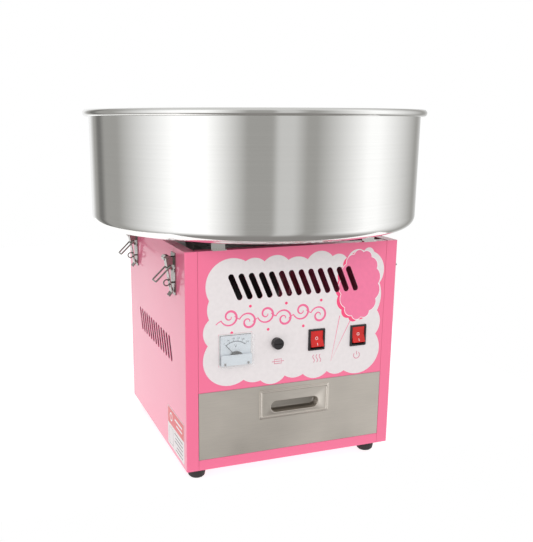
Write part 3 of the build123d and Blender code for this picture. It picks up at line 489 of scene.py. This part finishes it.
# ------------------------------------------------------------------ drawer pull
def make_pull():
    """Pressed pull plate with a raised bead and a deep obround recess."""
    u, plate_v, grip_v = 2.7, 107.8, 103.0
    # half width, half height, corner radius and distance out of each loop, in mm
    plate = [
        (55.5, 22.25, 2.2, 0.0), (55.5, 22.25, 2.2, 0.5), (55.1, 21.85, 2.0, 0.9), (53.7, 20.4, 1.6, 1.0),
        (53.2, 19.9, 1.6, 1.9), (52.6, 19.3, 1.5, 2.3), (52.0, 18.7, 1.5, 2.3), (51.4, 18.1, 1.4, 1.9),
        (50.9, 17.6, 1.4, 1.0)]
    recess = [
        (40.0, 10.4, 10.3, 1.0), (39.2, 9.6, 9.5, 1.5), (38.6, 9.0, 8.9, 1.5), (38.0, 8.5, 8.4, 1.0),
        (37.7, 8.2, 8.1, -1.0), (37.5, 8.0, 7.9, -11.5), (36.6, 7.1, 7.0, -13.2), (34.8, 5.3, 5.2, -13.8)]
    shell = [(35.4, 5.9, 5.8, -14.5), (37.6, 8.1, 8.0, -13.8), (38.5, 9.0, 8.9, -11.5), (38.7, 9.2, 9.1, 0.0)]
    levels = [(w, h, r, u, grip_v, out) for w, h, r, out in shell]
    levels += [(w, h, r, u, plate_v, out) for w, h, r, out in plate]
    levels += [(w, h, r, u, grip_v, out) for w, h, r, out in recess]
    # the pull's recess is painted darker with depth, as painted shade
    steel = brushed_sheet("pull_steel", DRAWER_STEEL, shade_depths=(FRONT - 0.6, FRONT + 9.0))
    pull = nested("pressed_pull", levels, front_map(FRONT), steel, "drawer")
    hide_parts("drawer_pull")


# ------------------------------------------------------------------ prints on the front
def vent_outline(index):
    """Obround outline of one front vent, a little larger than the vent itself."""
    shift = (index - (VENT_COUNT - 1) / 2) * VENT_PITCH
    length = math.hypot(VENT_LEAN, VENT_RISE)
    ux, uz = VENT_LEAN / length, -VENT_RISE / length
    half, radius = length / 2 - VENT_W / 2, VENT_W / 2 + VENT_MARGIN
    tilt = math.atan2(uz, ux)
    outline = []
    for end, start_angle in ((1, -90), (-1, 90)):
        for i in range(13):
            angle = tilt + math.radians(start_angle + 180 * i / 12)
            outline.append((VENT_X + shift + end * half * ux + radius * math.cos(angle),
                            VENT_Z + end * half * uz + radius * math.sin(angle)))
    return outline


def vent_cutter(indices):
    """One closed mesh of prisms, for cutting the vents out of a print."""
    bm = bmesh.new()
    for index in indices:
        outline = vent_outline(index)
        near = [bm.verts.new((u * MM, (FRONT - 3) * MM, v * MM)) for u, v in outline]
        far = [bm.verts.new((u * MM, (FRONT + 3) * MM, v * MM)) for u, v in outline]
        bm.faces.new(near)
        bm.faces.new(list(reversed(far)))
        bridge(bm, near, far)
    obj = bpy.data.objects.new("vent_cutter", closed_mesh("vent_cutter", bm))
    bpy.context.scene.collection.objects.link(obj)
    return obj


def cut(obj, cutter):
    """Cut the cutter's shape out of a piece, and keep the result as its mesh."""
    modifier = obj.modifiers.new("cut", "BOOLEAN")
    modifier.operation = "DIFFERENCE"
    modifier.solver = "EXACT"
    modifier.object = cutter
    bpy.context.view_layer.update()
    evaluated = obj.evaluated_get(bpy.context.evaluated_depsgraph_get())
    data = bpy.data.meshes.new_from_object(evaluated)
    obj.modifiers.clear()
    obj.data = data


def moved(outline, du, dv):
    return [(u + du, v + dv) for u, v in outline]


def grown(outline, amount):
    """Outline pushed outward along its own normals."""
    count = len(outline)
    area = sum(outline[i][0] * outline[(i + 1) % count][1] - outline[(i + 1) % count][0] * outline[i][1]
               for i in range(count))
    side = 1 if area > 0 else -1
    result = []
    for i, (x, y) in enumerate(outline):
        before, after = outline[i - 1], outline[(i + 1) % count]
        length = math.hypot(after[0] - before[0], after[1] - before[1])
        result.append((x + side * amount * (after[1] - before[1]) / length,
                       y - side * amount * (after[0] - before[0]) / length))
    return result


FLOSS_X, FLOSS_Z = 103.0, 275.0         # centre of the candy floss
FLOSS_HALF_W, FLOSS_HALF_H = 30.5, 48.5
FLOSS_PUFF_COUNT, FLOSS_PUFF_RISE = 13, 3.6
FLOSS_SHADOW = (-5.6, -3.0)
FLOSS_BORDER = 0.9
FLOSS_VENTS = range(9, 13)              # the vents that the floss is printed over
FLOSS_CONE = [(72, 231), (60, 163), (90, 223)]


def floss_puffs():
    """Even puffs round an oval, each as (valley x, valley z, crest x, crest z)."""
    def on_oval(step, rise):
        angle = -math.tau * step / FLOSS_PUFF_COUNT
        return (FLOSS_X + (FLOSS_HALF_W + rise) * math.cos(angle),
                FLOSS_Z + (FLOSS_HALF_H + rise) * math.sin(angle))

    return [on_oval(step, 0.0) + on_oval(step + 0.5, FLOSS_PUFF_RISE) for step in range(FLOSS_PUFF_COUNT)]


def make_floss(place):
    """Candy floss on a cone, printed over the right end of the vents."""
    floss = scalloped(floss_puffs())
    cutter = vent_cutter(FLOSS_VENTS)
    shadow = flat_art("floss_shadow", moved(floss, *FLOSS_SHADOW), place, "shadow_pink")
    border = flat_art("floss_border", grown(floss, FLOSS_BORDER), place, "outline_white", layer=2)
    blob = flat_art("floss_blob", floss, place, "floss_pink", layer=3)
    for piece in (shadow, border, blob):
        cut(piece, cutter)
    bpy.data.objects.remove(cutter)
    stroke("floss_cone", FLOSS_CONE, 1.1, place, "line_pink", layer=0.5)


def spiral(x, z, radius, turns, start, direction, steps=44):
    """Points of a spiral that winds in to its centre."""
    points = []
    for i in range(steps + 1):
        t = i / steps
        angle = math.radians(start) + direction * math.tau * turns * t
        r = radius * (1 - 0.86 * t)
        points.append((x + r * math.cos(angle), z + r * math.sin(angle)))
    return points


def make_scrolls(place):
    """Row of scroll waves and dots across the cloud, in place of lettering.

    The scrolls sit high and low in turn. A dot stands below each high one and above each low one.
    """
    count, first_x, pitch, radius, turns = 6, -99.0, 27.4, 13.6, 1.45
    thin, swell = 1.3, 1.9
    for index in range(count):
        x = first_x + index * pitch
        z, direction, start, dot_z = ((244.0, 1, 200, 221.0), (235.0, -1, 160, 257.0))[index % 2]
        curl = spiral(x, z, radius, turns, start, direction)
        lead_x, lead_z = curl[0]
        lead = arc_points((lead_x - 7.5, z - direction * 9.5), (lead_x - 2.6, z - direction * 6.0),
                          (lead_x, lead_z), 8)
        stroke(f"scroll_{index}", lead + curl, lambda t: thin + swell * math.sin(math.pi * t) ** 2,
               place, "line_pink", layer=1 + 2 * (index % 2))
        flat_art(f"scroll_dot_{index}", disc_outline(x + 3.0, dot_z, 2.1), place, "shadow_pink")


def make_captions(place):
    """Plain symbols under the fuse and the two switches."""
    x, z, half_w, half_h, lead = -25.2, 171.8, 5.6, 3.2, 9.6
    box = [(x + u * half_w, z + v * half_h) for u, v in ((-1, -1), (1, -1), (1, 1), (-1, 1))]
    stroke("caption_fuse_box", box, 1.05, place, "caption", closed=True)
    stroke("caption_fuse_line", [(x - lead, z), (x + lead, z)], 1.05, place, "caption", layer=2)
    x, z, gap, length, sway = 36.9, 163.6, 5.2, 12, 1.4
    for index in range(3):
        u = x + (index - 1) * gap
        wave = [(u + sway * math.sin(math.tau * t / length), z + t) for t in range(length + 1)]
        stroke(f"caption_heat_{index}", wave, 1.15, place, "caption")
    x, z, radius = 102.8, 167.6, 5.0
    angles = [math.radians(degrees) for degrees in range(38, 323, 15)]
    ring = [(x + radius * math.sin(angle), z + radius * math.cos(angle)) for angle in angles]
    stroke("caption_power_ring", ring, 1.15, place, "caption")
    stroke("caption_power_bar", [(x, z + 0.8), (x, z + 6.4)], 1.15, place, "caption")


# ------------------------------------------------------------------ meter and switches
def figure(name, text, size, u, v, place):
    """Flat figure or letter of the dial, centred on a point of the drawing plane."""
    curve = bpy.data.curves.new(name, "FONT")
    curve.body = text
    curve.size = size
    curve.align_x = "CENTER"
    curve.align_y = "CENTER"
    curve.extrude = FIGURE_HALF
    obj = bpy.data.objects.new(name, curve)
    bpy.context.scene.collection.objects.link(obj)
    bpy.context.view_layer.update()
    data = bpy.data.meshes.new_from_object(obj.evaluated_get(bpy.context.evaluated_depsgraph_get()))
    bpy.data.objects.remove(obj)
    for vertex in data.vertices:
        vertex.co = place(u + vertex.co.x, v + vertex.co.y, FIGURE_RISE + vertex.co.z)
    data.materials.clear()
    add_mesh(name, data, INKS["dial_line"], "cabinet")


def make_meter_back():
    """Pale frame of the meter, behind its clear window."""
    # half width, half height, corner radius and distance out of each loop, in mm
    loops = ((24.8, 23.3, 1.6, 0.25), (24.8, 23.3, 1.6, 0.5), (24.3, 22.8, 1.4, 0.7), (21.6, 20.1, 1.0, 0.7),
             (21.2, 19.7, 1.0, 0.3))
    levels = [(w, h, r, METER_X, METER_Z, out) for w, h, r, out in loops]
    nested("meter_back", levels, front_map(FRONT), MATERIALS["label_film"], "cabinet")


def make_dial():
    """Printed scale of the meter: arc, ticks, numbers and the unit's letter."""
    place = front_map(DIAL_FACE)
    radius, sweep, ticks, per_number = 21.0, 42.3, 25, 5

    def on_arc(degrees, r):
        angle = math.radians(degrees)
        return (METER_X + r * math.sin(angle), NEEDLE_PIVOT_Z + r * math.cos(angle))

    arc = [on_arc(-sweep + 2 * sweep * i / 30, radius) for i in range(31)]
    stroke("dial_arc", arc, 0.8, place, "dial_line")
    for index in range(ticks + 1):
        degrees = -sweep + 2 * sweep * index / ticks
        major = index % per_number == 0
        length, width = (2.4, 0.6) if major else (1.4, 0.28)
        tick = [on_arc(degrees, radius), on_arc(degrees, radius + length)]
        stroke(f"dial_tick_{index}", tick, width, place, "dial_line", layer=2)
        if major:
            figure(f"dial_number_{index}", str(index * 10), 3.2, *on_arc(degrees, radius + 4.6), place)
    figure("dial_unit", "V", 6.4, METER_X, NEEDLE_PIVOT_Z + 14.0, place)


def make_marks():
    """O and I moulded in white on each rocker, riding with it."""
    tilt = Matrix.Rotation(math.radians(-ROCKER_TILT), 4, "X")
    for name, x in SWITCHES.items():
        pivot = Vector((x * MM, SWITCH_PIVOT_Y * MM, SWITCH_Z * MM))
        ring = disc_outline(0, 0.8, 1.9)
        bar = [(0, -9.6), (0, -6.0)]

        def place(u, v, out, pivot=pivot):
            face = -ROCKER_DIP - ROCKER_SWELL * abs(v) / ROCKER_HALF
            return pivot + tilt @ Vector((u * MM, (face - out) * MM, v * MM))

        body = f"{name}_rocker"
        stroke(f"{name}_mark_off", ring, 0.75, place, "mark_white", body, closed=True)
        stroke(f"{name}_mark_on", bar, 0.85, place, "mark_white", body)


# ------------------------------------------------------------------ side label
def make_label():
    """Coral heading band and plain bars on the side label."""
    place = side_map(SIDE)
    rear, fore, top, band = -70.3, -155.3, 86.6, 61.2
    heading_u, line_u, line_h = -146, -148, 1.6
    spot = (-88, 74)

    def bar(name, u, v, width, height, ink, layer=1):
        outline = [(u, v), (u + width, v), (u + width, v + height), (u, v + height)]
        flat_art(name, outline, place, ink, layer)

    bar("label_band", fore, band, rear - fore, top - band, "coral")
    bar("label_heading", heading_u, 76, 38, 3, "label_white", 3)
    bar("label_heading_low", heading_u, 69, 30, 2.5, "label_white", 3)
    flat_art("label_spot", disc_outline(*spot, 7.0), place, "label_white", 3)
    flat_art("label_spot_core", disc_outline(*spot, 4.6), place, "coral", 5)
    for index, (v, length) in enumerate(((54, 42), (48, 38), (42, 42), (36, 30), (30, 36))):
        bar(f"label_line_{index}", line_u, v, length, line_h, "label_grey")
    stroke("label_frame", [(-98, 30), (-78, 30), (-78, 56), (-98, 56)], 0.8, place, "label_grey",
           closed=True)


# ------------------------------------------------------------------ studio
# Panels of the studio, by compass angle from +X in degrees: where each one starts to fade
# in, is full, starts to fade out and has gone, then its brightness. The wall is between them.
WALL_LEVEL = 0.36
PANELS = (
    (-215, -165, -142, -115, 1.15),     # large soft box at the left of the camera
    (-99, -95, -85, -76, 0.60),         # narrow card beside the camera
    (-70, -30, -20, 30, 1.10),          # large soft box at the right of the camera
    (34, 62, 96, 108, 0.92),            # soft box at the rear
    (111, 116, 121, 128, 0.18),         # black flag at the rear left
)
WARM = (1.0, 0.985, 0.945)              # tint of the dark stretches
CEILING, CEILING_RISE = (0.66, 0.66, 0.65), (0.45, 0.85)
GROUND, GROUND_FALL = (0.26, 0.25, 0.24), (-0.45, -0.75)


def studio_ring():
    """Angles from -180 to 180 with the studio's brightness at each one."""
    corners = []
    for start, full, fading, gone, level in PANELS:
        corners += [(start, WALL_LEVEL), (full, level), (fading, level), (gone, WALL_LEVEL)]
    (start, low), (full, high) = corners[0], corners[1]
    seam = low + (high - low) * (-180 - start) / (full - start)
    return [(-180, seam)] + corners[1:] + [(start + 360, low), (180, seam)]


def make_studio():
    """World light: the ring above, a pale ceiling and a dark ground, but plain white to the camera."""
    world = bpy.data.worlds.new("studio")
    bpy.context.scene.world = world
    world.use_nodes = True
    tree = world.node_tree
    add, link = tree.nodes.new, tree.links.new

    def ramp(value, start, end):
        """0 at the start value and 1 at the end value."""
        node = add("ShaderNodeMapRange")
        node.inputs[1].default_value = start
        node.inputs[2].default_value = end
        link(value, node.inputs[0])
        return node.outputs[0]

    def toward(colour, factor, before):
        """Turn what was before into a plain colour, by a factor."""
        node = add("ShaderNodeMix")
        node.data_type = "RGBA"
        node.inputs[7].default_value = (*colour, 1)
        link(factor, node.inputs[0])
        link(before, node.inputs[6])
        return node.outputs[2]

    coords = add("ShaderNodeTexCoord")
    split = add("ShaderNodeSeparateXYZ")
    link(coords.outputs["Generated"], split.inputs[0])
    angle = add("ShaderNodeMath")
    angle.operation = "ARCTAN2"
    link(split.outputs[1], angle.inputs[0])
    link(split.outputs[0], angle.inputs[1])
    ring = add("ShaderNodeValToRGB")
    stops = ring.color_ramp.elements
    stops.remove(stops[1])
    for degrees, level in studio_ring():
        stop = stops.new((degrees + 180) / 360) if degrees > -180 else stops[0]
        warmth = min(1.0, max(0.0, (0.75 - level) / 0.4))
        stop.color = [level * (1 + (tone - 1) * warmth) for tone in WARM] + [1]
    link(ramp(angle.outputs[0], -math.pi, math.pi), ring.inputs[0])
    height = split.outputs[2]
    sky = toward(CEILING, ramp(height, *CEILING_RISE), ring.outputs[0])
    room = toward(GROUND, ramp(height, *GROUND_FALL), sky)
    seen = add("ShaderNodeLightPath").outputs["Is Camera Ray"]
    link(toward((1.0, 1.0, 1.0), seen, room), tree.nodes["Background"].inputs[0])


def make_lamp(name, spot, target, size, power):
    """Square soft box at a spot, turned to a target. Shiny surfaces do not reflect it."""
    lamp = bpy.data.lights.new(name, "AREA")
    lamp.shape = "SQUARE"
    lamp.size = size
    lamp.energy = power
    obj = bpy.data.objects.new(name, lamp)
    bpy.context.scene.collection.objects.link(obj)
    obj.location = spot
    obj.visible_glossy = False
    obj.rotation_euler = (Vector(target) - Vector(spot)).to_track_quat("-Z", "Y").to_euler()


def make_floor():
    """Plain pale table top, bright enough to meet the white round it."""
    s = Shader("studio_floor", {"Base Color": (0.45, 0.45, 0.45, 1), "Roughness": 0.6,
                                "Emission Color": (1, 1, 1, 1), "Emission Strength": 0.8})
    s.link(s.spread(s.noise(s.coords, 40, 2), 0.55, 0.7), "Roughness")
    half, fore, rear = 0.6, -0.18, 2.0
    data = bpy.data.meshes.new("studio_floor")
    corners = [(-half, fore, 0), (half, fore, 0), (half, rear, 0), (-half, rear, 0)]
    data.from_pydata(corners, [], [(0, 1, 2, 3)])
    data.materials.append(s.material)
    floor = bpy.data.objects.new("studio_floor", data)
    bpy.context.scene.collection.objects.link(floor)


def make_camera():
    """Camera at the left front, a little below the rim, tilted down."""
    spot = (-0.4373, -1.0952, 0.5084)
    yaw, pitch, roll = math.radians(19.7), math.radians(-13.7), math.radians(0.11)
    camera = bpy.data.cameras.new("camera")
    camera.sensor_fit = "HORIZONTAL"
    camera.sensor_width = 36.0
    camera.lens = 49.94
    camera.shift_x = 0.077
    camera.shift_y = 0.055
    obj = bpy.data.objects.new("camera", camera)
    bpy.context.scene.collection.objects.link(obj)
    turn = Matrix.Rotation(-yaw, 4, "Z") @ Matrix.Rotation(math.pi / 2 + pitch, 4, "X")
    obj.matrix_world = Matrix.Translation(spot) @ turn @ Matrix.Rotation(roll, 4, "Z")
    bpy.context.scene.camera = obj


# ------------------------------------------------------------------ build
make_camera()
make_studio()
make_floor()
make_lamp("key_light", (-0.45, -2.2, 1.5), (0, 0, 0.3), 1.2, 15)
make_lamp("fill_light", (0.1, -2.3, 0.35), (0, 0, 0.3), 1.0, 11)
dress_cad()
make_bowl()
make_pull()
film_place = front_map(FILM)
make_floss(film_place)
make_scrolls(film_place)
make_captions(film_place)
make_meter_back()
make_dial()
make_marks()
make_label()
bpy.context.scene.view_settings.view_transform = "Standard"
